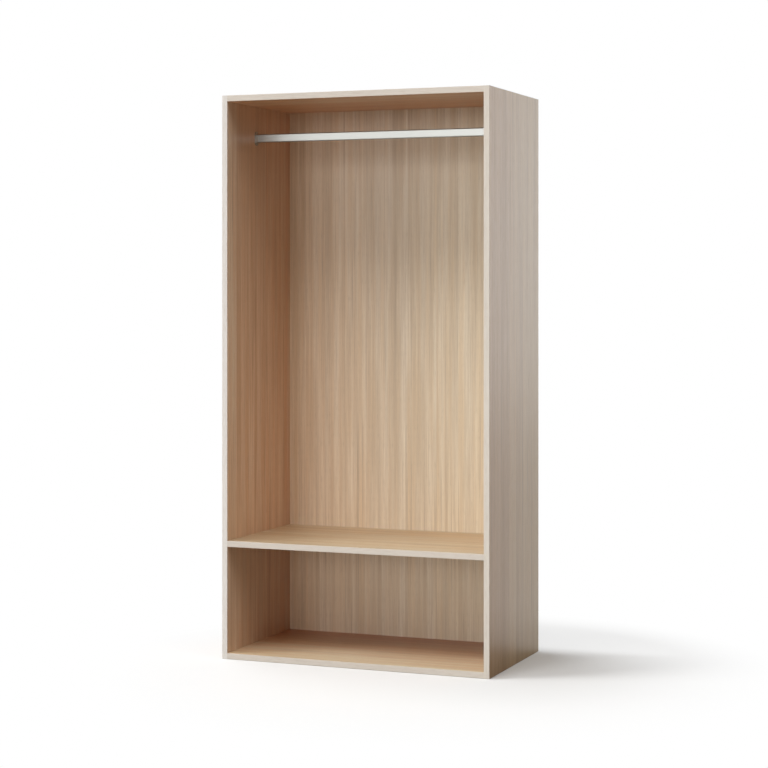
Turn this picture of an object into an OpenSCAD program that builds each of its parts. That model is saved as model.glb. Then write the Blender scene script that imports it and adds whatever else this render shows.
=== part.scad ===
// Open wardrobe: two full-height sides with a top, a bottom and a fixed shelf between them, a back
// panel held in grooves, a flat-sided clothes rail that drops into open sockets, and low glides.
// The origin is the centre of the footprint on the floor. +X is to the right seen from the front,
// +Y is to the back and +Z is up.

/* [Carcass] */
// Overall width across both sides
overall_w = 1000; // [700:10:1200]
// Overall depth of the sides with their edge bands
overall_d = 556; // [480:2:650]
// Overall height from the floor to the top of the sides
overall_h = 2000; // [1700:10:2300]
// Thickness of the sides
side_t = 20; // [18:1:25]
// Thickness of the top, bottom and shelf
board_t = 21; // [18:1:25]
// Thickness of the edge bands
band_t = 1; // [0.8:0.1:2]
// Radius of the edge bands' outer corners
band_round = 0.5; // [0.2:0.1:0.6]
// Clear height between the bottom and the shelf
low_space_h = 377; // [250:1:500]

/* [Back panel] */
// Thickness of the back panel
back_t = 8; // [5:0.5:10]
// Distance from the rear of the carcass to the back panel
back_inset = 10; // [8:1:20]
// Depth of the grooves that hold the back panel
groove_depth = 8; // [6:0.5:9]
// Distance between the screws that join the back panel to the shelf
back_screw_pitch = 300; // [200:10:310]

/* [Clothes rail] */
// Height of the tube
rail_h = 30; // [25:1:34]
// Width of the tube
rail_w = 15; // [12:0.5:18]
// Radius of the tube's corners
rail_corner_r = 4; // [2.5:0.5:5]
// Wall of the tube
rail_wall = 1.2; // [0.8:0.1:2]
// Distance from the underside of the top to the middle of the tube
rail_drop = 116; // [80:2:150]
// Distance from the front of the carcass to the middle of the tube
rail_setback = 240; // [180:5:280]

/* [Rail sockets] */
// Thickness of the flange against the side
flange_t = 3; // [2.5:0.5:4]
// Width of the flange on each side of the cup
flange_margin = 3.4; // [2:0.2:6]
// Clear height between the cup and the heads of the socket's screws
socket_screw_gap = 0.4; // [0.4:0.2:4]
// Wall of the cup that carries the tube
cup_wall = 1.8; // [1.2:0.1:2]
// Distance that the cup stands out of the flange
cup_reach = 10; // [8:1:16]

/* [Joint fittings] */
// Distance from the carcass's front and rear to the cam fittings
cam_setback = 60; // [55:1:80]
// Distance from the end of a board to the middle of its cam
cam_reach = 34; // [30:1:36]
// Diameter of the cam housing
cam_d = 15; // [14:0.5:16]
// Distance from a cam fitting to the dowel beside it
dowel_step = 32; // [28:1:40]
// Diameter of the wooden dowels
dowel_d = 8; // [6:0.5:8]
// Length of the wooden dowels
dowel_l = 35; // [30:1:40]

/* [Floor glides] */
// Height of the glides
glide_h = 3; // [2.5:0.5:5]
// Gap under the carcass, which is how far the glides stand out of their recesses
glide_stand = 1; // [0.5:0.5:2]
// Diameter of the glides
glide_d = 14; // [12:1:15]
// Distance from the carcass's front and rear to the glides
glide_setback = 30; // [25:1:40]

/* [Hidden] */
$fn = 48;

// Colours of the finishes
board_colour = "#bda17f";
band_colour = "#ddd0c2";
rail_colour = "#d3d4d3";
socket_colour = "#8f8a84";
steel_colour = "#a9a9a6";
cam_colour = "#b5b2ab";
dowel_colour = "#d9bd92";
cap_colour = "#c4a989";
glide_colour = "#4a4744";

// Clearances, and how far a cutting shape runs past the face that it cuts
part_gap = 0.1;
loose_gap = 0.3;
end_gap = 1;
cut_over = 1;

// Boards and the heights that they lie at
front_y = -overall_d / 2;
rear_y = overall_d / 2;
core_front_y = front_y + band_t;
core_rear_y = rear_y - band_t;
inner_w = overall_w - 2 * side_t;
side_mid_x = (overall_w - side_t) / 2;
base_z = glide_stand;
bottom_top_z = base_z + board_t;
shelf_z = bottom_top_z + low_space_h;
top_z = overall_h - board_t;
bottom_axis_z = base_z + board_t / 2;
shelf_axis_z = shelf_z + board_t / 2;
top_axis_z = top_z + board_t / 2;
board_axes_z = [bottom_axis_z, shelf_axis_z, top_axis_z];
faces_up = 1;
faces_down = -1;

// Back panel, resting on the floor of the bottom's groove
back_rear_y = rear_y - back_inset;
back_front_y = back_rear_y - back_t;
back_w = inner_w + 2 * (groove_depth - end_gap);
back_base_z = bottom_top_z - groove_depth;
back_top_z = top_z + groove_depth - end_gap;

// Rows of fittings across the depth, shared by the bores and what sits in them
cam_rows = [front_y + cam_setback, rear_y - cam_setback];
dowel_rows = [front_y + cam_setback + dowel_step, rear_y - cam_setback - dowel_step];
glide_rows = [front_y + glide_setback, rear_y - glide_setback];
back_screw_columns = [-back_screw_pitch, 0, back_screw_pitch];

// Cam bolt: thread in the side, shank, neck and the head that the cam pulls on
bolt_thread_d = 5;
bolt_thread_l = 11;
bolt_shank_d = 7;
bolt_neck_d = 4;
bolt_head_d = 6.6;
bolt_head_t = 3;
bolt_chamfer = 0.6;
bolt_bore_d = bolt_shank_d + 2 * loose_gap;
bolt_shank_l = cam_reach - cam_d / 2 - end_gap;

// Cam housing, measured from the bolt's axis, with the room in it for the bolt's head
cam_below = 4.5;
cam_recess = 1;
cam_above = board_t / 2 - cam_recess;
cam_turn = 100;
cam_room_h = bolt_head_d + 2 * loose_gap;
cam_room_r = norm([bolt_head_t, bolt_head_d]) / 2 + loose_gap;
cam_slot_h = bolt_neck_d + 2 * loose_gap;
driver_slot_w = 1.6;
driver_slot_l = 9;
driver_slot_depth = 2.5;

// Cover cap that plugs the pocket over a cam
cap_t = 0.8;
cap_chamfer = 0.2;
cap_stem_l = 2;

// Dowels
dowel_in_side = 12;
dowel_in_board = dowel_l - dowel_in_side;
dowel_chamfer = 1;

// Screws
screw_d = 3.6;
screw_head_d = 7;
screw_head_h = 2.2;
screw_crown_d = 4.2;
screw_crown_h = 1;
screw_tip_h = 4;
cross_l = 3.8;
cross_w = 0.9;
cross_depth = 1.3;
socket_screw_l = 16;
back_screw_l = 35;

// Rail and its sockets
rail_y = front_y + rail_setback;
rail_z = top_z - rail_drop;
rail_l = inner_w - 2 * (flange_t + end_gap);
cup_bore_w = rail_w + 2 * loose_gap;
cup_w = cup_bore_w + 2 * cup_wall;
cup_bore_low_z = -rail_h / 2 - loose_gap;
cup_low_z = cup_bore_low_z - cup_wall;
cup_top_z = rail_h / 4;
flange_w = cup_w + 2 * flange_margin;
flange_edge = 1;
socket_screw_rise = socket_screw_gap + screw_head_d / 2 - cup_low_z;
flange_h = 2 * socket_screw_rise + screw_head_d + 2 * flange_edge;
socket_screws_z = [rail_z - socket_screw_rise, rail_z + socket_screw_rise];

// Glides and their nails
glide_round = 1.2;
nail_d = 2.4;
nail_head_d = 6;
nail_head_t = 1;
nail_lift = 0.4;
nail_in_side = 12;
nail_tip = 2;

// A 2D oval, tall in Y: two half circles joined by straight sides
module oval(width, height) {
  straight = height - width;
  square([width, straight], center = true);
  for (end = [-1, 1]) translate([0, end * straight / 2]) circle(d = width);
}

// A 2D rectangle about the origin, with round corners
module rounded_rectangle(width, height, radius) {
  square([width - 2 * radius, height], center = true);
  square([width, height - 2 * radius], center = true);
  for (x = [-1, 1], y = [-1, 1])
    translate([x * (width / 2 - radius), y * (height / 2 - radius)]) circle(r = radius);
}

// A 2D upright shape about X = 0 with a flat top, and with round corners at its low end
module channel(width, low, high, radius) {
  translate([-width / 2, low + radius]) square([width, high - low - radius]);
  translate([radius - width / 2, low]) square([width - 2 * radius, high - low]);
  for (side = [-1, 1]) translate([side * (width / 2 - radius), low + radius]) circle(r = radius);
}

// Extrudes a profile drawn as (Y, Z) by a length along +X
module along_x(length) {
  rotate([90, 0, 90]) linear_extrude(length) children();
}

// Places children on the inner face of one side, their +Z pointing into the side
module on_side(side, rows, heights) {
  for (z = heights, y = rows) translate([side * inner_w / 2, y, z]) rotate([0, side * 90, 0])
    children();
}

// Places children at both ends of a board, their +Z pointing out of the board
module at_board_ends(rows, axis_z) {
  for (side = [-1, 1]) on_side(side, rows, [axis_z]) children();
}

// Places children at the four cams of a board. Their +X points to the board's end, and their +Z
// out of the face that the cams open in.
module at_cams(axis_z, facing) {
  for (side = [-1, 1], y = cam_rows)
    translate([side * (inner_w / 2 - cam_reach), y, axis_z])
      rotate([facing == faces_up ? 0 : 180, 0, side > 0 ? 0 : 180]) children();
}

// Places children at the four glides, on the floor
module at_glides() {
  for (side = [-1, 1], y = glide_rows) translate([side * side_mid_x, y, 0]) children();
}

// Places children behind the back panel in line with the shelf, their +Z pointing to the front
module at_back_screws() {
  for (x = back_screw_columns) translate([x, back_rear_y, shelf_axis_z]) rotate([90, 0, 0])
    children();
}

// A bore whose mouth is at z = 0 and that runs along +Z
module bore(diameter, depth) {
  translate([0, 0, -cut_over]) cylinder(d = diameter, h = depth + cut_over);
}

// A bore with its mouth at z = 0 that runs along -Z
module bore_back(diameter, depth) {
  mirror([0, 0, 1]) bore(diameter, depth);
}

// A block given by its low and high corners
module block(low, high) {
  translate(low) cube(high - low);
}

// Section of an edge band as wide in X as its board is thick, its outer face at Y = 0 with
// rounded corners
module band_profile(width) {
  translate([band_round, 0]) square([width - 2 * band_round, band_t]);
  translate([0, band_round]) square([width, band_t - band_round]);
  for (corner = [band_round, width - band_round]) translate([corner, band_round]) intersection() {
    circle(r = band_round);
    translate([-band_round, -band_round]) square([2 * band_round, band_round]);
  }
}

// Edge band on the front or the rear edge of a side, over its full height
module side_edge_band(side, rear) {
  color(band_colour) translate([side * side_mid_x - side_t / 2, rear ? rear_y : front_y, base_z])
    mirror([0, rear ? 1 : 0, 0]) linear_extrude(overall_h - base_z) band_profile(side_t);
}

// Flat band on the top end of a side, between its upright bands
module side_top_band(side) {
  color(band_colour) translate([side * side_mid_x - side_t / 2, 0, 0])
    block([0, core_front_y, overall_h - band_t], [side_t, core_rear_y, overall_h]);
}

// Edge band along the front or the rear edge of a board between the sides
module board_edge_band(z, rear) {
  color(band_colour) translate([-inner_w / 2, rear ? rear_y : front_y, z])
    mirror([0, rear ? 1 : 0, 0]) along_x(inner_w) mirror([1, -1]) band_profile(board_t);
}

// Room for the back panel's edge, between two heights and as wide as given about x = 0
module back_groove(width, low_z, high_z) {
  block(
    [-width / 2, back_front_y - part_gap, low_z],
    [width / 2, back_rear_y + part_gap, high_z]
  );
}

// A side, with the groove for the back panel and the bores for its fittings
module side_panel(side) {
  color(board_colour) difference() {
    translate([side * side_mid_x - side_t / 2, 0, 0])
      block([0, core_front_y, base_z], [side_t, core_rear_y, overall_h - band_t]);
    back_groove(inner_w + 2 * groove_depth, 0, overall_h);
    on_side(side, cam_rows, board_axes_z) bore(bolt_thread_d + 2 * part_gap, bolt_thread_l + end_gap);
    on_side(side, dowel_rows, board_axes_z) bore(dowel_d + 2 * part_gap, dowel_in_side + end_gap);
    on_side(side, [rail_y], socket_screws_z)
      bore(screw_d + 2 * part_gap, socket_screw_l - flange_t + end_gap);
    at_glides() {
      bore(glide_d + 2 * part_gap, glide_h);
      bore(nail_d + 2 * part_gap, glide_h + nail_in_side + end_gap);
    }
  }
}

// A board between the sides, with the bores in its ends and the pockets for its cams
module board(z, rear, cams_face) {
  difference() {
    block([-inner_w / 2, core_front_y, z], [inner_w / 2, rear, z + board_t]);
    at_board_ends(cam_rows, z + board_t / 2) bore_back(bolt_bore_d, cam_reach);
    at_board_ends(dowel_rows, z + board_t / 2)
      bore_back(dowel_d + 2 * part_gap, dowel_in_board + end_gap);
    at_cams(z + board_t / 2, cams_face) translate([0, 0, board_t / 2])
      bore_back(cam_d + 2 * part_gap, board_t / 2 + cam_below);
  }
}

module top_panel() {
  color(board_colour) difference() {
    board(top_z, core_rear_y, faces_up);
    back_groove(overall_w, top_z - cut_over, top_z + groove_depth);
  }
}

module bottom_panel() {
  color(board_colour) difference() {
    board(base_z, core_rear_y, faces_down);
    back_groove(overall_w, bottom_top_z - groove_depth, bottom_top_z + cut_over);
  }
}

// The shelf ends at the back panel, which is screwed to its rear edge
module fixed_shelf() {
  color(board_colour) difference() {
    board(shelf_z, back_front_y, faces_down);
    at_back_screws() bore(screw_d + 2 * part_gap, back_screw_l + end_gap);
  }
}

module back_panel() {
  color(board_colour) difference() {
    block([-back_w / 2, back_front_y, back_base_z], [back_w / 2, back_rear_y, back_top_z]);
    at_back_screws() bore(screw_d + 2 * part_gap, back_t + cut_over);
  }
}

// Tube with flat sides and rounded corners, open at both ends
module clothes_rail() {
  color(rail_colour) translate([-rail_l / 2, rail_y, rail_z]) along_x(rail_l) difference() {
    rounded_rectangle(rail_w, rail_h, rail_corner_r);
    rounded_rectangle(rail_w - 2 * rail_wall, rail_h - 2 * rail_wall, rail_corner_r - rail_wall);
  }
}

// Section of the cup under one end of the tube, open at the top, drawn about the tube's middle
module cup_profile() {
  bore_r = rail_corner_r + loose_gap;
  difference() {
    channel(cup_w, cup_low_z, cup_top_z, bore_r + cup_wall);
    channel(cup_bore_w, cup_bore_low_z, cup_top_z + cut_over, bore_r);
  }
}

// Flange against a side, with countersunk holes, and the cup that stands out of it
module rail_socket(side) {
  color(socket_colour) difference() {
    translate([side * inner_w / 2, rail_y, rail_z]) mirror([side > 0 ? 1 : 0, 0, 0]) {
      along_x(flange_t) oval(flange_w, flange_h);
      along_x(flange_t + cup_reach) cup_profile();
    }
    on_side(side, [rail_y], socket_screws_z) translate([0, 0, -flange_t]) {
      bore(screw_d + 2 * part_gap, flange_t + cut_over);
      screw_countersink();
    }
  }
}

// Cone that clears a countersunk head whose top is at z = 0
module screw_countersink() {
  cylinder(
    d1 = screw_head_d + 2 * part_gap,
    d2 = screw_d + 2 * part_gap,
    h = screw_head_h
  );
}

// Cross in a screw's head, cut along +Z from z = 0
module screw_cross() {
  for (turn = [0, 90]) rotate([0, 0, turn])
    translate([0, 0, cross_depth / 2 - cut_over / 2])
      cube([cross_l, cross_w, cross_depth + cut_over], center = true);
}

// Countersunk screw, its flat top at z = 0 and its tip along +Z
module countersunk_screw(length) {
  color(steel_colour) difference() {
    rotate_extrude() polygon([
      [0, 0], [screw_head_d / 2, 0], [screw_d / 2, screw_head_h],
      [screw_d / 2, length - screw_tip_h], [0, length]
    ]);
    screw_cross();
  }
}

// Pan-head screw, the underside of its head at z = 0 and its tip along +Z
module pan_head_screw(length) {
  color(steel_colour) difference() {
    rotate_extrude() polygon([
      [0, -screw_head_h], [screw_crown_d / 2, -screw_head_h],
      [screw_head_d / 2, -screw_crown_h], [screw_head_d / 2, 0], [screw_d / 2, 0],
      [screw_d / 2, length - screw_tip_h], [0, length]
    ]);
    translate([0, 0, -screw_head_h]) screw_cross();
  }
}

module socket_screws(side) {
  on_side(side, [rail_y], socket_screws_z) translate([0, 0, -flange_t])
    countersunk_screw(socket_screw_l);
}

module back_panel_screws() {
  at_back_screws() pan_head_screw(back_screw_l);
}

// Cross that a driver turns the cam by, of a given slot width and depth, down from z = 0
module driver_cross(length, width, depth) {
  for (turn = [0, 90]) rotate([0, 0, turn])
    translate([-length / 2, -width / 2, -depth]) cube([length, width, depth + cut_over]);
}

// Cam housing in its locked position. The bolt's head went in at the wide hole, and the slot
// for its neck ends at +X.
module cam_lock() {
  color(cam_colour) difference() {
    translate([0, 0, -cam_below]) cylinder(d = cam_d, h = cam_below + cam_above);
    translate([0, 0, -cam_room_h / 2]) cylinder(r = cam_room_r, h = cam_room_h);
    rotate([0, 90, 0]) cylinder(d = cam_slot_h, h = cam_d);
    rotate_extrude(angle = cam_turn)
      translate([cam_room_r - loose_gap, -cam_slot_h / 2]) square([cam_d, cam_slot_h]);
    rotate([0, 90, cam_turn]) cylinder(d = cam_room_h, h = cam_d);
    translate([0, 0, cam_above]) driver_cross(driver_slot_l, driver_slot_w, driver_slot_depth);
  }
}

module cam_locks(axis_z, facing) {
  at_cams(axis_z, facing) cam_lock();
}

// Bolt with its shoulder on the side's inner face and its head in the cam
module cam_bolt() {
  color(steel_colour) rotate_extrude() polygon([
    [0, bolt_thread_l], [bolt_thread_d / 2 - bolt_chamfer, bolt_thread_l],
    [bolt_thread_d / 2, bolt_thread_l - bolt_chamfer], [bolt_thread_d / 2, 0],
    [bolt_shank_d / 2, 0], [bolt_shank_d / 2, -bolt_shank_l],
    [bolt_neck_d / 2, -bolt_shank_l], [bolt_neck_d / 2, -cam_reach + bolt_head_t / 2],
    [bolt_head_d / 2, -cam_reach + bolt_head_t / 2],
    [bolt_head_d / 2, -cam_reach - bolt_head_t / 2], [0, -cam_reach - bolt_head_t / 2]
  ]);
}

module cam_bolts(axis_z) {
  at_board_ends(cam_rows, axis_z) cam_bolt();
}

// Cap on a cam, a little below the board's face, with a stem in the driver's cross
module cam_cap() {
  color(cap_colour) translate([0, 0, cam_above]) {
    rotate_extrude() polygon([
      [0, 0], [cam_d / 2, 0], [cam_d / 2, cap_t - cap_chamfer], [cam_d / 2 - cap_chamfer, cap_t],
      [0, cap_t]
    ]);
    intersection() {
      driver_cross(driver_slot_l - 2 * part_gap, driver_slot_w - 2 * part_gap, cap_stem_l);
      translate([0, 0, -cap_stem_l]) cylinder(d = cam_d, h = cap_stem_l + cap_t / 2);
    }
  }
}

module cam_caps(axis_z, facing) {
  at_cams(axis_z, facing) cam_cap();
}

// Wooden dowel, part in the side and part in the board, with chamfered ends
module dowel() {
  color(dowel_colour) rotate_extrude() polygon([
    [0, -dowel_in_board], [dowel_d / 2 - dowel_chamfer, -dowel_in_board],
    [dowel_d / 2, -dowel_in_board + dowel_chamfer], [dowel_d / 2, dowel_in_side - dowel_chamfer],
    [dowel_d / 2 - dowel_chamfer, dowel_in_side], [0, dowel_in_side]
  ]);
}

module dowels(axis_z) {
  at_board_ends(dowel_rows, axis_z) dowel();
}

// Half section of a glide, with its lower edge rounded
module glide_profile() {
  square([glide_d / 2 - glide_round, glide_h]);
  translate([0, glide_round]) square([glide_d / 2, glide_h - glide_round]);
  translate([glide_d / 2 - glide_round, glide_round]) circle(r = glide_round);
}

// Round glides let into the sides from below, each recessed for the head of its nail
module floor_glides() {
  color(glide_colour) at_glides() difference() {
    rotate_extrude() glide_profile();
    bore(nail_head_d + 2 * part_gap, nail_lift + nail_head_t);
    bore(nail_d + 2 * part_gap, glide_h + cut_over);
  }
}

// Nails through the glides into the ends of the sides
module glide_nails() {
  nail_top_z = glide_h + nail_in_side;
  color(steel_colour) at_glides() rotate_extrude() polygon([
    [0, nail_lift], [nail_head_d / 2, nail_lift], [nail_head_d / 2, nail_lift + nail_head_t],
    [nail_d / 2, nail_lift + nail_head_t], [nail_d / 2, nail_top_z - nail_tip], [0, nail_top_z]
  ]);
}

side_panel(-1);  // left_side_panel
side_panel(1);  // right_side_panel
top_panel();
bottom_panel();
fixed_shelf();
back_panel();
side_edge_band(-1, rear = false);  // left_side_front_band
side_edge_band(1, rear = false);  // right_side_front_band
side_edge_band(-1, rear = true);  // left_side_rear_band
side_edge_band(1, rear = true);  // right_side_rear_band
side_top_band(-1);  // left_side_top_band
side_top_band(1);  // right_side_top_band
board_edge_band(top_z, rear = false);  // top_panel_front_band
board_edge_band(top_z, rear = true);  // top_panel_rear_band
board_edge_band(base_z, rear = false);  // bottom_panel_front_band
board_edge_band(base_z, rear = true);  // bottom_panel_rear_band
board_edge_band(shelf_z, rear = false);  // shelf_front_band
clothes_rail();
rail_socket(-1);  // left_rail_socket
rail_socket(1);  // right_rail_socket
socket_screws(-1);  // left_socket_screws
socket_screws(1);  // right_socket_screws
cam_locks(top_axis_z, faces_up);  // top_cam_locks
cam_locks(shelf_axis_z, faces_down);  // shelf_cam_locks
cam_locks(bottom_axis_z, faces_down);  // bottom_cam_locks
cam_bolts(top_axis_z);  // top_cam_bolts
cam_bolts(shelf_axis_z);  // shelf_cam_bolts
cam_bolts(bottom_axis_z);  // bottom_cam_bolts
dowels(top_axis_z);  // top_dowels
dowels(shelf_axis_z);  // shelf_dowels
dowels(bottom_axis_z);  // bottom_dowels
cam_caps(top_axis_z, faces_up);  // top_cam_caps
cam_caps(shelf_axis_z, faces_down);  // shelf_cam_caps
back_panel_screws();
floor_glides();
glide_nails();
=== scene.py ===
import math

import bmesh
import bpy
from bpy.props import FloatProperty, FloatVectorProperty, PointerProperty
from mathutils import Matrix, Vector

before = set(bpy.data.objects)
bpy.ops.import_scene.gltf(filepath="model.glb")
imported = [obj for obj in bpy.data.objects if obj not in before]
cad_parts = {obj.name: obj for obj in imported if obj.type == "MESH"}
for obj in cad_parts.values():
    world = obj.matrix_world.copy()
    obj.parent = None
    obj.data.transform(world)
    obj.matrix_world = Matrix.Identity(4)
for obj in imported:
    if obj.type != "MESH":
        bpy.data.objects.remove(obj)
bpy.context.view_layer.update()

bl_info = {
    "name": "Open wardrobe finish",
    "version": (1, 0, 0),
    "blender": (4, 5, 0),
    "location": "3D View > Sidebar > Wardrobe",
    "description": "Finishes an open wardrobe in quarter-cut oak veneer and sets it in a white studio",
    "category": "Object",
}

MM = 0.001

# Shares of red, green and blue in how bright a colour looks
LUMINANCE = (0.2126, 0.7152, 0.0722)

# Places of the colour sockets on a Mix node
MIX_SHARE = 0
MIX_FIRST = 6
MIX_SECOND = 7
MIX_RESULT = 2

# Span in which nearly all of a noise's values lie
NOISE_SPAN = {"From Min": 0.3, "From Max": 0.7}

# Leaves of veneer between one face of a board and the other, for each metre of thickness
FACE_SHIFT = 340.0

# How squarely a surface has to face along the board's thickness to be veneered
FACE_LIMIT = 0.7

# Where the noise of the hues is read, away from the noise of the rings
HUES_APART = (7.0, 0.0, 3.0)

# Mean share of the rosy ground, and what the tannest streaks, the rosiest ones and the rosiest leaves add
MEAN_ROSE = 0.5
STREAK_ROSE = (-0.5, 0.1)
LEAF_ROSE = 0.4

# How deep the rings and the pores lie, as shares of the bump's distance
RING_DEPTH = 0.5
PORE_DEPTH = 3.0

# How far the fittings' roughness swings both ways, and the IOR of those that aren't metal
ROUGH_SWING = 0.06
FITTING_IOR = 1.49

# Mean share of late wood, and how far it swings by broad stripe, ring and fine line
LATE_SHARE = 0.35
LATE_SWINGS = (1.0, 0.85, 1.1)

# How red, green and blue change across a board in painted shade: redder and darker where shade falls
PAINTED_SHADE_TURN = (-0.6, -1.6, -2.2)

# Sides of the disc that stands for the round floor
FLOOR_SIDES = 96


def linear(colour):
    """Linear red, green, blue and alpha of an sRGB colour written as hex."""
    channels = [int(colour[i:i + 2], 16) / 255 for i in (1, 3, 5)]
    return tuple(c / 12.92 if c <= 0.04045 else ((c + 0.055) / 1.055) ** 2.4 for c in channels) + (1.0,)


def colour(name, description, default):
    """A colour that a user can change."""
    return FloatVectorProperty(
        name=name, description=description, subtype="COLOR", size=4, min=0, max=1, default=linear(default)
    )


def length(name, description, millimetres):
    """A length that a user can change, written in millimetres."""
    return FloatProperty(
        name=name, description=description, subtype="DISTANCE", unit="LENGTH", min=0, precision=5,
        default=millimetres * MM,
    )


class VeneerSettings(bpy.types.PropertyGroup):
    """Quarter-cut oak veneer and the chipboard under it"""

    tan: colour("Tan streak", "Ground colour of the yellower streaks", "#cab79f")
    rosy: colour("Rosy streak", "Ground colour of the pinker streaks", "#c19e79")
    late: colour("Late wood", "Colour of the denser wood in rings, lines and darker leaves", "#aa8b6c")
    dark: colour("Dark line", "Colour of the few dark rings", "#7d6049")
    pore: colour("Pore", "Colour of the open pores", "#977c60")
    chip: colour("Chip", "Colour of the pale chips in the core", "#c8a878")
    binder: colour("Binder", "Colour of the dark chips and the glue between them", "#8f6f4b")
    leaf_width: length("Leaf width", "Mean width of one leaf of veneer", 85)
    shade_width: length("Shade width", "Width of the broad lighter and darker stripes", 40)
    hue_width: length("Hue width", "Width of the yellower and pinker streaks", 25)
    hue_length: length("Hue length", "Length of the yellower and pinker streaks", 900)
    ring_width: length("Ring width", "Width of one growth ring", 9)
    ring_length: length("Ring length", "Length over which rings and stripes keep their shade", 900)
    line_width: length("Line width", "Width of the fine lines, drawn as coarse as the view can show", 3.6)
    line_length: length("Line length", "Length of the fine lines", 170)
    pore_width: length("Pore width", "Width of a row of pores, drawn as coarse as the view can show", 1.3)
    pore_length: length("Pore length", "Length of a row of pores", 34)
    chip_size: length("Chip size", "Size of the chips in the core", 3)


class TrimSettings(bpy.types.PropertyGroup):
    """Edge bands and fittings"""

    left_band: colour("Left edge band", "Ground colour of the edge bands on the left side", "#e6dfd7")
    right_band: colour("Right edge band", "Ground colour of the edge bands on the right side", "#ded4c7")
    level_band: colour("Level edge band", "Ground colour of the bands on top, shelf and bottom", "#dacfc2")
    band_line: colour("Edge band line", "Colour of the lines in the edge bands", "#bda68c")
    rail: colour("Clothes rail", "Anodised aluminium of the clothes rail", "#abaca8")
    brush_width: length("Brush width", "Width of a brushed line, drawn as coarse as the view can show", 1.2)
    brush_length: length("Brush length", "Length of a brushed line", 180)
    socket: colour("Rail socket", "Nickel plate of the rail sockets", "#a7a199")
    steel: colour("Steel", "Zinc plate of the screws, bolts and nails", "#b4b5b3")
    zinc: colour("Cast zinc", "Bare zinc of the cams", "#a3a5a4")
    beech: colour("Beech", "Turned beech of the dowels", "#d9bd92")
    cap: colour("Cover cap", "Oak-coloured plastic of the cover caps", "#c9ac87")
    glide: colour("Floor glide", "Dark plastic of the floor glides", "#4a4744")


class StudioSettings(bpy.types.PropertyGroup):
    """Camera, floor and light"""

    camera_place: FloatVectorProperty(
        name="Camera place", description="Place of the camera", subtype="TRANSLATION", unit="LENGTH",
        default=(2.6557, -6.6635, 1.3252),
    )
    camera_turn: FloatProperty(
        name="Camera turn", description="Turn of the level camera to its left from +Y", subtype="ANGLE",
        default=math.radians(21.67),
    )
    lens: FloatProperty(
        name="Lens", description="Focal length on the 36 mm sensor", subtype="DISTANCE_CAMERA", default=93.72
    )
    lens_shift: FloatProperty(
        name="Lens shift", description="Upward shift of the lens as a share of the picture", default=-0.128
    )
    light: FloatProperty(
        name="Light", description="Strength of every lamp, as a share of its own", min=0, default=1.0
    )
    softness: FloatProperty(
        name="Softness", description="Width of each lamp as the wardrobe sees it", subtype="ANGLE",
        default=math.radians(22),
    )
    floor: colour("Floor", "Colour of the floor", "#f6f6f5")
    floor_bounce: colour("Floor bounce", "Colour in which the floor lights what stands on it", "#888887")
    floor_radius: length("Floor radius", "Radius of the round floor", 14000)
    floor_near: length("Floor near", "Radius inside which the floor shows all its shade", 450)
    floor_fade: length("Floor fade", "Radius outside which the floor shows plain white", 1250)
    # Painted light: behind the wardrobe the floor glows paler, over the shadow that falls there
    rear_near: length("Rear near", "Distance behind the middle where the floor starts to pale", 200)
    rear_fade: length("Rear fade", "Distance behind the middle where the floor has paled", 400)
    rear_share: FloatProperty(
        name="Rear share", description="How far the floor pales behind the wardrobe", subtype="FACTOR",
        min=0, max=1, default=0.68,
    )
    floor_middle: FloatVectorProperty(
        name="Floor middle", description="Middle of the floor's shaded part", subtype="TRANSLATION",
        unit="LENGTH", default=(0.25, -0.15, 0),
    )


def add(tree, kind, inputs=None, output=0, **settings):
    """Adds a node, sets it, gives its inputs their values or links, and hands back one of its outputs."""
    node = tree.nodes.new("ShaderNode" + kind)
    for name, value in settings.items():
        setattr(node, name, value)
    for place, value in (inputs or {}).items():
        if isinstance(value, bpy.types.NodeSocket):
            tree.links.new(value, node.inputs[place])
        else:
            node.inputs[place].default_value = value
    return node.outputs[output] if node.outputs else node


def new_material(name, **constants):
    """A material with one surface shader, and constants set on the shader's own sockets."""
    material = bpy.data.materials.new(name)
    material.use_nodes = True
    tree = material.node_tree
    tree.nodes.clear()
    surface = add(tree, "BsdfPrincipled", constants)
    add(tree, "OutputMaterial", {"Surface": surface})
    return material, tree, surface.node.inputs


def grain_place(tree, across, through, along):
    """Object coordinates across the grain, through the board and along the grain."""
    place = add(tree, "SeparateXYZ", {"Vector": add(tree, "TexCoord", output="Object")})
    return [place.node.outputs[axis] for axis in (across, through, along)]


def grain(tree, place, width, run, detail=2.0, roughness=0.5):
    """One layer of grain: noise as wide as width and as long as run, at (across, through, along)."""
    scaled = add(tree, "VectorMath", {0: place, 1: (1 / width, 1 / width, 1 / run)}, operation="MULTIPLY")
    return add(
        tree, "TexNoise", {"Vector": scaled, "Scale": 1.0, "Detail": detail, "Roughness": roughness}
    )


def luminance(tone):
    """How bright a linear colour looks."""
    return sum(weight * channel for weight, channel in zip(LUMINANCE, tone))


def toned(tone, warmth, rose, lightness):
    """A colour made warmer, rosier and lighter, each without the others."""
    red, green, blue, alpha = tone
    warm = (green * (red / green) ** (warmth + rose), green, green * (blue / green) ** (warmth - rose))
    share = lightness * luminance(tone) / luminance(warm)
    return (*(channel * share for channel in warm), alpha)


def chipboard(tree, veneer):
    """Colour of the cut chipboard core: pale chips in a darker binder."""
    place = add(tree, "TexCoord", output="Object")
    chips = add(tree, "TexVoronoi", {"Vector": place, "Scale": 1 / veneer.chip_size}, output="Color")
    shade = add(tree, "SeparateColor", {"Color": chips}, output="Red")
    return add(
        tree, "Mix", {MIX_SHARE: shade, MIX_FIRST: tuple(veneer.binder), MIX_SECOND: tuple(veneer.chip)},
        MIX_RESULT, data_type="RGBA",
    )


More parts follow.
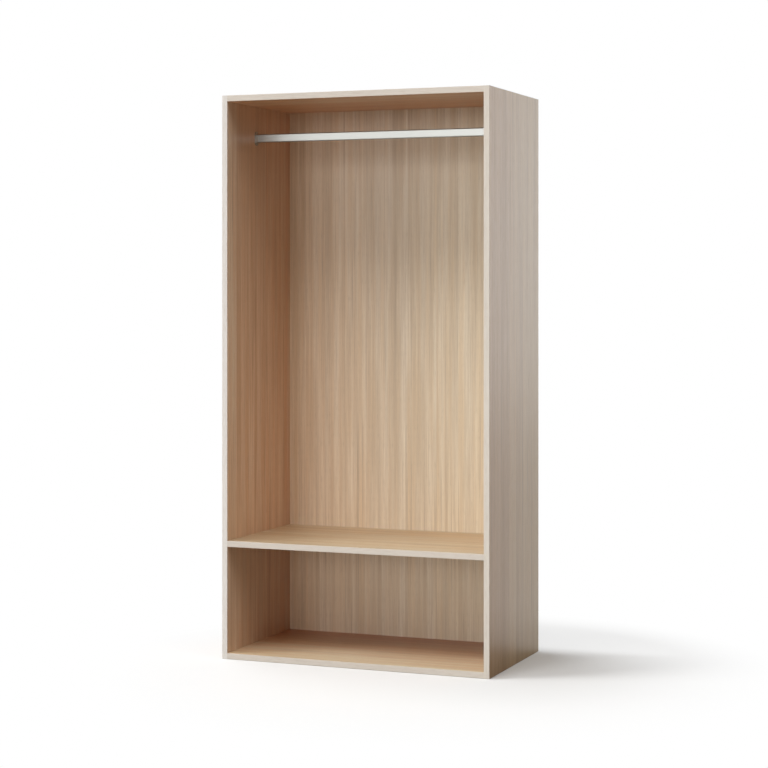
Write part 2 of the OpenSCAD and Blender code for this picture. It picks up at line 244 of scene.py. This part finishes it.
def oak_veneer(name, across, through, along, seed, warmth, rose, lightness, figure, steps, hues, painted_shade):
    """Oak veneer, quarter-cut into narrow leaves, glued to chipboard and lacquered satin.

    The cut gives the eye straight lines along the grain and leaves that differ a little in colour from
    their neighbours. The lacquer gives a soft white sheen, strongest at a low angle. Real pores are 0.3 mm
    wide and real lines under 1 mm, so both are drawn wider than that, as coarse as the view can show.
    """
    veneer = bpy.context.scene.wardrobe_veneer
    tan, rosy, late, dark, pore = (
        toned(tone, warmth, rose, lightness)
        for tone in (veneer.tan, veneer.rosy, veneer.late, veneer.dark, veneer.pore)
    )
    lacquer = {"Coat Weight": 0.3, "Coat Roughness": 0.3, "Coat IOR": 1.5}
    material, tree, surface = new_material(name, IOR=1.5, **lacquer)
    side, depth, run = grain_place(tree, across, through, along)

    # Each leaf is a cell along the line across the grain, other cells on the board's other face
    counted = add(tree, "Math", {0: side, 1: 1 / veneer.leaf_width, 2: seed}, operation="MULTIPLY_ADD")
    cell = add(tree, "Math", {0: depth, 1: FACE_SHIFT, 2: counted}, operation="MULTIPLY_ADD")
    leaves = add(tree, "TexVoronoi", {"W": cell, "Scale": 1.0}, "Color", voronoi_dimensions="1D")
    leaf = add(tree, "SeparateColor", {"Color": leaves}).node.outputs

    # The grain starts at another place in each leaf
    start = add(tree, "Math", {0: side, 1: leaf["Blue"]}, operation="ADD")
    place = add(tree, "CombineXYZ", {"X": start, "Y": depth, "Z": run})
    shades = grain(tree, place, veneer.shade_width, veneer.ring_length, detail=1.0)
    rings = grain(tree, place, veneer.ring_width, veneer.ring_length, detail=3.0, roughness=0.6)
    lines = grain(tree, place, veneer.line_width, veneer.line_length, detail=3.0, roughness=0.7)
    pores = grain(tree, place, veneer.pore_width, veneer.pore_length, detail=1.0)
    apart = add(tree, "VectorMath", {0: place, 1: HUES_APART}, operation="ADD")
    drawn = grain(tree, apart, veneer.hue_width, veneer.hue_length, roughness=0.6)

    # Streaks, and to a lesser share whole leaves, lean to tan or to rose
    least, most = (MEAN_ROSE + hues * rose_streak for rose_streak in STREAK_ROSE)
    streak = add(
        tree, "MapRange",
        {"Value": drawn, "From Min": 0.32, "From Max": 0.68, "To Min": least, "To Max": most},
        interpolation_type="SMOOTHSTEP",
    )
    lean = add(tree, "Math", {0: leaf["Red"], 1: hues * LEAF_ROSE, 2: streak}, operation="MULTIPLY_ADD")
    ground = add(
        tree, "Mix", {MIX_SHARE: lean, MIX_FIRST: tan, MIX_SECOND: rosy}, MIX_RESULT, data_type="RGBA"
    )

    # The share of late wood rises and falls from leaf to leaf, in broad stripes, in rings and in fine lines.
    # Each of these averages a half, so half of its swing comes off first
    swings = (steps, *(figure * swing for swing in LATE_SWINGS))
    share = LATE_SHARE - 0.5 * sum(swings)
    for layer, swing in zip((leaf["Green"], shades, rings, lines), swings):
        share = add(tree, "Math", {0: layer, 1: swing, 2: share}, operation="MULTIPLY_ADD")
    wood = add(
        tree, "Mix", {MIX_SHARE: share, MIX_FIRST: ground, MIX_SECOND: late}, MIX_RESULT, data_type="RGBA"
    )

    # A few rings are dark, and open pores lie in short rows
    dark_ring = add(
        tree, "MapRange", {"Value": rings, "From Min": 0.6, "From Max": 0.75, "To Max": 0.5},
        interpolation_type="SMOOTHSTEP",
    )
    ringed = add(
        tree, "Mix", {MIX_SHARE: dark_ring, MIX_FIRST: wood, MIX_SECOND: dark}, MIX_RESULT, data_type="RGBA"
    )
    open_pore = add(
        tree, "MapRange", {"Value": pores, "From Min": 0.56, "From Max": 0.75, "To Max": 0.35},
        interpolation_type="SMOOTHSTEP",
    )
    face = add(
        tree, "Mix", {MIX_SHARE: open_pore, MIX_FIRST: ringed, MIX_SECOND: pore}, MIX_RESULT, data_type="RGBA"
    )

    # Painted shade and light: across each board the colour turns redder and darker where shade falls on it,
    # and paler where light falls
    shade_slope = [painted_shade * turn for turn in PAINTED_SHADE_TURN]
    order = add(tree, "VectorMath", {0: side, 1: shade_slope, 2: (1.0, 1.0, 1.0)}, operation="MULTIPLY_ADD")
    face_in_painted_shade = add(tree, "VectorMath", {0: face, 1: order}, operation="MULTIPLY")

    # The veneer lies on the board's two faces, and the core shows wherever the board is cut
    normal = add(tree, "TexCoord", output="Normal")
    facing = add(tree, "SeparateXYZ", {"Vector": normal}, through)
    flat = add(tree, "Math", {0: facing}, operation="ABSOLUTE")
    on_face = add(tree, "Math", {0: flat, 1: FACE_LIMIT}, operation="GREATER_THAN")
    cut = add(
        tree, "Mix", {MIX_SHARE: on_face, MIX_FIRST: chipboard(tree, veneer), MIX_SECOND: face_in_painted_shade}, MIX_RESULT,
        data_type="RGBA",
    )
    tree.links.new(cut, surface["Base Color"])

    # The lacquer sinks into the pores and a little into the rings, and is duller there
    satin = add(
        tree, "MapRange", {"Value": pores, "From Min": 0.4, "From Max": 0.75, "To Min": 0.36, "To Max": 0.5}
    )
    tree.links.new(satin, surface["Roughness"])
    ring_height = add(tree, "Math", {0: rings, 1: -RING_DEPTH}, operation="MULTIPLY")
    height = add(tree, "Math", {0: open_pore, 1: -PORE_DEPTH, 2: ring_height}, operation="MULTIPLY_ADD")
    bump = add(tree, "Bump", {"Height": height, "Strength": 0.35, "Distance": 0.12 * MM})
    tree.links.new(bump, surface["Normal"])
    return material


def oak_edge_band(name, tone, across, through, along):
    """Pale oak edge band, planed, glued on and rounded over.

    Its lines are short and faint, so that it reads as a light frame round the darker faces. They are drawn
    wider than real ones, as coarse as the view can show.
    """
    veneer = bpy.context.scene.wardrobe_veneer
    trim = bpy.context.scene.wardrobe_trim
    material, tree, surface = new_material(name, IOR=1.5)
    side, depth, run = grain_place(tree, across, through, along)
    place = add(tree, "CombineXYZ", {"X": side, "Y": depth, "Z": run})
    lines = grain(tree, place, veneer.line_width, veneer.pore_length, detail=3.0, roughness=0.7)
    shade = grain(tree, place, veneer.ring_width, veneer.line_length)
    line = add(
        tree, "MapRange", {"Value": lines, "From Min": 0.45, "From Max": 0.75, "To Max": 0.25},
        interpolation_type="SMOOTHSTEP",
    )
    lined = add(
        tree, "Mix", {MIX_SHARE: line, MIX_FIRST: tuple(tone), MIX_SECOND: tuple(trim.band_line)},
        MIX_RESULT, data_type="RGBA",
    )
    level = add(tree, "MapRange", {"Value": shade, **NOISE_SPAN, "To Min": 0.97, "To Max": 1.03})
    tree.links.new(add(tree, "HueSaturation", {"Value": level, "Color": lined}), surface["Base Color"])
    planed = add(
        tree, "MapRange", {"Value": lines, "From Min": 0.3, "From Max": 0.8, "To Min": 0.42, "To Max": 0.55}
    )
    tree.links.new(planed, surface["Roughness"])
    bump = add(tree, "Bump", {"Height": lines, "Strength": 0.2, "Distance": 0.1 * MM})
    tree.links.new(bump, surface["Normal"])
    return material


def anodised_aluminium(name):
    """Extruded aluminium, brushed along its length and anodised in its natural colour.

    The brushing gives the eye fine lines, which draw a highlight out along the tube. Real ones are 0.1 mm
    wide, so they are drawn as coarse as the view can show.
    """
    trim = bpy.context.scene.wardrobe_trim
    material, tree, surface = new_material(name, Metallic=1.0)
    side, depth, run = grain_place(tree, "Z", "Y", "X")
    place = add(tree, "CombineXYZ", {"X": side, "Y": depth, "Z": run})
    lines = grain(tree, place, trim.brush_width, trim.brush_length, detail=3.0, roughness=0.6)
    level = add(tree, "MapRange", {"Value": lines, **NOISE_SPAN, "To Min": 0.93, "To Max": 1.0})
    tone = add(tree, "HueSaturation", {"Value": level, "Color": tuple(trim.rail)})
    tree.links.new(tone, surface["Base Color"])
    brushed = add(tree, "MapRange", {"Value": lines, **NOISE_SPAN, "To Min": 0.3, "To Max": 0.4})
    tree.links.new(brushed, surface["Roughness"])
    bump = add(tree, "Bump", {"Height": lines, "Strength": 0.15, "Distance": 0.05 * MM})
    tree.links.new(bump, surface["Normal"])
    return material


def speckled(name, tone, grit, rough, metallic):
    """A cast, plated, turned or moulded surface with a fine even grit.

    Real grit is about 0.1 mm, so it is drawn coarser, as coarse as a near view needs to show it.
    """
    optics = {} if metallic else {"IOR": FITTING_IOR}
    material, tree, surface = new_material(name, Metallic=metallic, **optics)
    place = add(tree, "TexCoord", output="Object")
    value = add(tree, "TexNoise", {"Vector": place, "Scale": 1 / grit, "Detail": 3.0})
    level = add(tree, "MapRange", {"Value": value, **NOISE_SPAN, "To Min": 0.9, "To Max": 1.06})
    shaded = add(tree, "HueSaturation", {"Value": level, "Color": tuple(tone)})
    tree.links.new(shaded, surface["Base Color"])
    matt = add(
        tree, "MapRange",
        {"Value": value, **NOISE_SPAN, "To Min": rough - ROUGH_SWING, "To Max": rough + ROUGH_SWING},
    )
    tree.links.new(matt, surface["Roughness"])
    bump = add(tree, "Bump", {"Height": value, "Strength": 0.2, "Distance": 0.1 * grit})
    tree.links.new(bump, surface["Normal"])
    return material


def finish(material, *names):
    """Gives CAD nodes a material through their objects' material slots, and fails if one is missing."""
    for name in names:
        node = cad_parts[name]
        if not node.material_slots:
            node.data.materials.append(material)
        for slot in node.material_slots:
            slot.material = material


def finish_fittings(finishes):
    """Makes each finish of a table and gives it to its pieces."""
    trim = bpy.context.scene.wardrobe_trim
    for name, (setting, grit, rough, metallic, pieces) in finishes.items():
        finish(speckled(name, getattr(trim, setting), grit * MM, rough, metallic), *pieces)


# Across, through and along the grain of each board, where its leaves are cut from the flitch, its warmth,
# rose and lightness, how strong its figure is, how much its leaves and its hues differ, and how steeply
# painted shade and light run across it
# Warmth, rose and lightness were matched to how each board looks where it stands, so they are partly the
# board's own tone and partly painted shade and light: the top's warmth paints the reddish shade under it
BOARDS = {
    "left_side_panel": ("Y", "X", "Z", 137.64, 1.13, 0.15, 1.15, 1.4, 0.5, 1.0, 0.38),
    "right_side_panel": ("Y", "X", "Z", 407.0, 1.33, -0.12, 1.06, 1.1, 0.8, 0.4, -0.25),
    "back_panel": ("X", "Y", "Z", 484.33, 0.69, -0.08, 1.6, 1.1, 0.3, 1.2, -0.18),
    "top_panel": ("Y", "Z", "X", 31.45, 1.5, 0.12, 1.13, 1.4, 0.4, 1.4, 0.4),
    "bottom_panel": ("Y", "Z", "X", 884.67, 1.42, 0.11, 1.01, 1.2, 0.4, 1.0, 1.4),
    "fixed_shelf": ("Y", "Z", "X", 120.62, 0.95, -0.12, 1.13, 1.1, 0.3, 1.6, 0.15),
}

# Bands whose grain runs level along the front and rear edges
LEVEL_BANDS = (
    "top_panel_front_band", "top_panel_rear_band", "bottom_panel_front_band", "bottom_panel_rear_band",
    "shelf_front_band",
)

# The setting with each finish's colour, its grit in millimetres, its roughness, how metallic it is, and the
# pieces that have it
SOCKET_FINISHES = {
    # Nickel plate over cast zinc: a soft grey shine that follows a fine cast grit
    "nickel_plated_cast_zinc": ("socket", 0.8, 0.38, 1.0, ("left_rail_socket", "right_rail_socket")),
}
FITTING_FINISHES = {
    # Zinc plate over drawn steel: a cool, even shine
    "zinc_plated_steel": (
        "steel", 0.6, 0.32, 1.0,
        ("left_socket_screws", "right_socket_screws", "back_panel_screws", "glide_nails",
         "top_cam_bolts", "shelf_cam_bolts", "bottom_cam_bolts"),
    ),
    # Zinc as it comes out of the die: a dull grey skin
    "die_cast_zinc": ("zinc", 1.2, 0.5, 1.0, ("top_cam_locks", "shelf_cam_locks", "bottom_cam_locks")),
    # Turned beech, left bare: pale and matt, with a fine fleck
    "turned_beech": ("beech", 1.0, 0.6, 0.0, ("top_dowels", "shelf_dowels", "bottom_dowels")),
    # Polypropylene from a satin mould: an even skin that blends in with the veneer
    "moulded_oak_coloured_polypropylene": ("cap", 0.5, 0.45, 0.0, ("top_cam_caps", "shelf_cam_caps")),
    # Polyethylene from a matt mould: dark, soft and nearly without a highlight
    "moulded_dark_polyethylene": ("glide", 0.6, 0.55, 0.0, ("floor_glides",)),
}

# Each lamp's turn to the left of the front and rise above the floor in degrees, and its strength in W/m2
LAMPS = {
    "low_front": (0, 7, 0.52),
    "low_front_left": (15, 7, 0.17),
    "low_left": (45, 7, 0.33),
    "low_right": (-75, 20, 0.25),
    "high_left": (20, 52, 0.85),
    "high_right": (-20, 52, 0.45),
    "high_side_right": (-60, 52, 0.4),
    "side_left": (60, 38, 1.5),
    "rear_right": (-165, 2, 0.14),
    "overhead": (107, 76, 0.75),
}


class WARDROBE_OT_camera(bpy.types.Operator):
    """Set a level camera at the photograph's viewing angle"""

    bl_idname = "wardrobe.camera"
    bl_label = "Camera"

    def execute(self, context):
        studio = context.scene.wardrobe_studio
        data = bpy.data.cameras.new("camera")
        data.lens = studio.lens
        data.shift_y = studio.lens_shift
        camera = bpy.data.objects.new("camera", data)
        camera.location = studio.camera_place
        camera.rotation_euler = (math.pi / 2, 0, studio.camera_turn)
        context.scene.collection.objects.link(camera)
        context.scene.camera = camera
        return {"FINISHED"}


class WARDROBE_OT_studio(bpy.types.Operator):
    """Set the wardrobe on a white floor in soft light"""

    bl_idname = "wardrobe.studio"
    bl_label = "Studio"

    def execute(self, context):
        studio = context.scene.wardrobe_studio
        context.scene.view_settings.view_transform = "Standard"
        self.light_room(context.scene)
        self.hang_lamps(context.scene, studio)
        self.lay_floor(context.scene, studio)
        return {"FINISHED"}

    def light_room(self, scene):
        """A room that shows as white to the eye and in reflections, and leaves the light to the lamps."""
        world = bpy.data.worlds.new("white_room")
        world.use_nodes = True
        tree = world.node_tree
        tree.nodes.clear()
        path = add(tree, "LightPath").node.outputs
        seen = add(
            tree, "Math", {0: path["Is Camera Ray"], 1: path["Is Transmission Ray"]}, operation="MAXIMUM"
        )
        shown = add(tree, "Math", {0: seen, 1: path["Is Glossy Ray"]}, operation="MAXIMUM")
        room = add(tree, "Background", {"Color": (1, 1, 1, 1), "Strength": shown})
        add(tree, "OutputWorld", {"Surface": room})
        scene.world = world

    def hang_lamps(self, scene, studio):
        """Large far lamps in front, above and behind, as soft as a cloudy window."""
        for name, (turn, rise, strength) in LAMPS.items():
            turn, rise = math.radians(turn), math.radians(rise)
            level = math.cos(rise)
            way = Vector((-math.sin(turn) * level, -math.cos(turn) * level, math.sin(rise)))
            data = bpy.data.lights.new(name, "SUN")
            data.energy = strength * studio.light
            data.angle = studio.softness
            lamp = bpy.data.objects.new(name, data)
            lamp.rotation_euler = way.to_track_quat("Z", "Y").to_euler()
            scene.collection.objects.link(lamp)

    def lay_floor(self, scene, studio):
        """A round floor that keeps the shade near the wardrobe, save behind it, where a painted glow pales
        its shadow, and is plain white further out.

        Its matt paint gives the eye an even white without a highlight.
        """
        material = bpy.data.materials.new("matt_white_floor_paint")
        material.use_nodes = True
        tree = material.node_tree
        tree.nodes.clear()
        path = add(tree, "LightPath").node.outputs
        bounce, shown_tone = tuple(studio.floor_bounce), tuple(studio.floor)
        tone = add(
            tree, "Mix", {MIX_SHARE: path["Is Camera Ray"], MIX_FIRST: bounce, MIX_SECOND: shown_tone},
            MIX_RESULT, data_type="RGBA",
        )
        paint = add(tree, "BsdfDiffuse", {"Color": tone})
        white = add(tree, "Emission", {"Color": (1, 1, 1, 1), "Strength": 1.0})
        place = add(tree, "TexCoord", output="Object")
        reach = add(tree, "VectorMath", {0: place, 1: studio.floor_middle}, "Value", operation="DISTANCE")
        fade = add(
            tree, "MapRange", {"Value": reach, "From Min": studio.floor_near, "From Max": studio.floor_fade},
            interpolation_type="SMOOTHSTEP",
        )
        # Painted light: behind the wardrobe a white glow pales the floor's shadow
        behind = add(tree, "SeparateXYZ", {"Vector": place}, "Y")
        rear = add(
            tree, "MapRange",
            {"Value": behind, "From Min": studio.rear_near, "From Max": studio.rear_fade,
             "To Max": studio.rear_share},
            interpolation_type="SMOOTHSTEP",
        )
        paler = add(tree, "Math", {0: fade, 1: rear}, operation="MAXIMUM")
        seen = add(tree, "Math", {0: path["Is Camera Ray"], 1: path["Is Glossy Ray"]}, operation="MAXIMUM")
        share = add(tree, "Math", {0: paler, 1: seen}, operation="MULTIPLY")
        shown = add(tree, "MixShader", {0: share, 1: paint, 2: white})
        add(tree, "OutputMaterial", {"Surface": shown})
        mesh = bpy.data.meshes.new("floor")
        disc = bmesh.new()
        bmesh.ops.create_circle(disc, cap_ends=True, segments=FLOOR_SIDES, radius=studio.floor_radius)
        disc.to_mesh(mesh)
        disc.free()
        mesh.materials.append(material)
        floor = bpy.data.objects.new("floor", mesh)
        scene.collection.objects.link(floor)


class WARDROBE_OT_boards(bpy.types.Operator):
    """Veneer the sides, top, bottom, shelf and back, each with its own leaves"""

    bl_idname = "wardrobe.boards"
    bl_label = "Veneered boards"

    def execute(self, context):
        for name, cut in BOARDS.items():
            finish(oak_veneer(f"satin_oak_veneer_{name}", *cut), name)
        return {"FINISHED"}


class WARDROBE_OT_bands(bpy.types.Operator):
    """Band the boards' edges in pale oak"""

    bl_idname = "wardrobe.bands"
    bl_label = "Edge bands"

    def execute(self, context):
        trim = context.scene.wardrobe_trim
        for side, tone in (("left", trim.left_band), ("right", trim.right_band)):
            upright = oak_edge_band(f"planed_oak_edge_band_{side}", tone, "X", "Y", "Z")
            finish(upright, f"{side}_side_front_band", f"{side}_side_rear_band")
            flat = oak_edge_band(f"planed_oak_edge_band_{side}_top", tone, "X", "Z", "Y")
            finish(flat, f"{side}_side_top_band")
        finish(oak_edge_band("planed_oak_edge_band_level", trim.level_band, "Z", "Y", "X"), *LEVEL_BANDS)
        return {"FINISHED"}


class WARDROBE_OT_rail(bpy.types.Operator):
    """Finish the clothes rail and its sockets"""

    bl_idname = "wardrobe.rail"
    bl_label = "Clothes rail"

    def execute(self, context):
        finish(anodised_aluminium("brushed_anodised_aluminium"), "clothes_rail")
        finish_fittings(SOCKET_FINISHES)
        return {"FINISHED"}


class WARDROBE_OT_fittings(bpy.types.Operator):
    """Finish the cams, bolts, screws, nails, dowels, caps and glides"""

    bl_idname = "wardrobe.fittings"
    bl_label = "Fittings"

    def execute(self, context):
        finish_fittings(FITTING_FINISHES)
        return {"FINISHED"}


class WARDROBE_PT_panel(bpy.types.Panel):
    """Every step of the wardrobe's finish, in order"""

    bl_idname = "WARDROBE_PT_panel"
    bl_label = "Open wardrobe"
    bl_space_type = "VIEW_3D"
    bl_region_type = "UI"
    bl_category = "Wardrobe"

    def draw(self, context):
        for operator in OPERATORS:
            self.layout.operator(operator.bl_idname)


SETTINGS = {
    "wardrobe_veneer": VeneerSettings,
    "wardrobe_trim": TrimSettings,
    "wardrobe_studio": StudioSettings,
}
OPERATORS = (
    WARDROBE_OT_camera,
    WARDROBE_OT_studio,
    WARDROBE_OT_boards,
    WARDROBE_OT_bands,
    WARDROBE_OT_rail,
    WARDROBE_OT_fittings,
)
CLASSES = (*SETTINGS.values(), *OPERATORS, WARDROBE_PT_panel)


def register():
    """Registers every class and hangs the settings on the scene."""
    for each in CLASSES:
        bpy.utils.register_class(each)
    for name, group in SETTINGS.items():
        setattr(bpy.types.Scene, name, PointerProperty(type=group))


def unregister():
    """Takes back what register did."""
    for name in SETTINGS:
        delattr(bpy.types.Scene, name)
    for each in reversed(CLASSES):
        bpy.utils.unregister_class(each)


def main():
    """Runs every operator in order."""
    register()
    for operator in OPERATORS:
        getattr(bpy.ops.wardrobe, operator.bl_idname.split(".")[1])()


if __name__ == "__main__":
    main()
